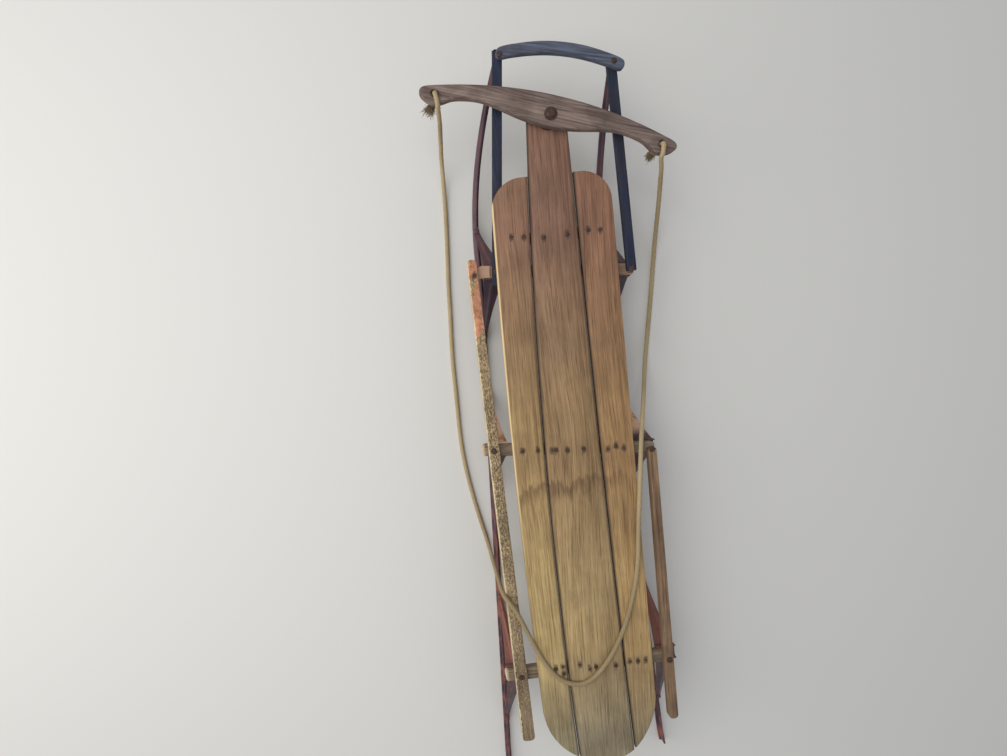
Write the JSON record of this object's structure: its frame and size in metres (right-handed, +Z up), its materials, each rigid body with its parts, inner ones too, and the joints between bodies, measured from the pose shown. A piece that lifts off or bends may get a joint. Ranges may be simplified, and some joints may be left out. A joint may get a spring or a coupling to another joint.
{
  "type": "runner sled",
  "caption": "Wooden flat-deck sled on flexible steel runners, with a pivoted steering bar, a nose bar and a pull rope.",
  "frame": {"origin": "on the floor under the middle of the length, midway between the runners", "axes": "+X to the sled's right, +Y to the nose, +Z up"},
  "size_m": [0.5248, 1.654, 0.2104],
  "materials": {
    "deck_wood": "worn",
    "bunk_wood": "worn",
    "painted_bunk_wood": "worn",
    "rail_wood": "worn",
    "bar_wood": "worn",
    "runner_steel": "worn, rusted",
    "knee_steel": "worn, rusted",
    "bolt_steel": "rusted",
    "rope": "braided cotton"
  },
  "bodies": {
    "sled": {"deck_board_left": "deck_wood", "deck_board_centre": "deck_wood", "deck_board_right": "deck_wood", "bunk_front": "painted_bunk_wood", "bunk_middle": "bunk_wood", "bunk_rear": "bunk_wood", "front_cleat": "bunk_wood", "side_rail_left": "rail_wood", "side_rail_right": "rail_wood", "runner_left": "runner_steel", "runner_right": "runner_steel", "front_side_bar_left": "bar_wood", "front_side_bar_right": "bar_wood", "nose_bar": "bar_wood", "pivot_spacer": "bolt_steel", "pivot_bolt": "bolt_steel", "rope": "rope", "knee_front_left": "knee_steel", "knee_front_right": "knee_steel", "knee_middle_left": "knee_steel", "knee_middle_right": "knee_steel", "knee_rear_left": "knee_steel", "knee_rear_right": "knee_steel"},
    "steering": {"steering_bar": "bar_wood", "rope_end_left": "rope", "rope_end_right": "rope"}
  },
  "joints": [
    {"name": "steering", "type": "hinge", "parent": "sled", "child": "steering", "pos_m": [0.0075, 0.675, 0.19], "axis": [0, 0, 1], "range_deg": [-1.2, 36.8]}
  ]
}
